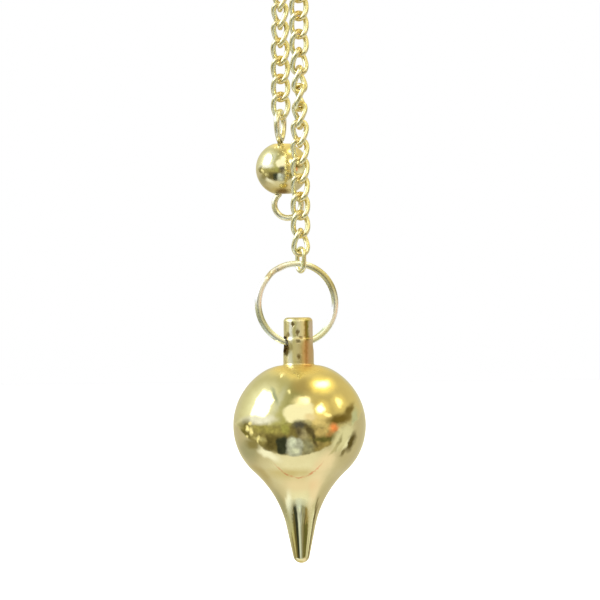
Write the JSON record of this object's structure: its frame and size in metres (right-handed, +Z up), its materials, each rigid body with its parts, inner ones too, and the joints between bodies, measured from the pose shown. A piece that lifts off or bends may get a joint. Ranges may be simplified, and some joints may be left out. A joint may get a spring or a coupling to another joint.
{
  "type": "pendulum pendant",
  "caption": "Turned brass teardrop pendulum on a split ring, with a curb chain that hangs over a peg and ends in a round bead",
  "frame": {"origin": "top of the peg that the chain's arch hangs over", "axes": "+Z up, against the pull of the hanging bob; -Y towards the viewer, the side on which the bob's strand hangs; +X to the viewer's right"},
  "size_m": [0.0187, 0.0209, 0.14],
  "materials": {
    "bob_brass": "mirror polished",
    "ring_brass": "polished",
    "chain_brass": "polished",
    "bead_brass": "mirror polished",
    "pin_brass": "polished"
  },
  "bodies": {
    "chain": {"end_link": "chain_brass", "bob_chain": "chain_brass", "bead_chain": "chain_brass", "bead": "bead_brass", "eye_pin": "pin_brass"},
    "ring": {"split_ring": "ring_brass"},
    "bob": {"bob": "bob_brass"}
  },
  "joints": [
    {"name": "ring_swing", "type": "hinge", "parent": "chain", "child": "ring", "pos_m": [0.00133, -0.00387, -0.09717], "axis": [-0.2756, 0.9613, 0], "range_deg": [-40, 34]},
    {"name": "bob_swing", "type": "hinge", "parent": "ring", "child": "bob", "pos_m": [0.0009, -0.004, -0.10744], "axis": [0.9613, 0.2756, 0], "range_deg": [-90, 90]}
  ]
}
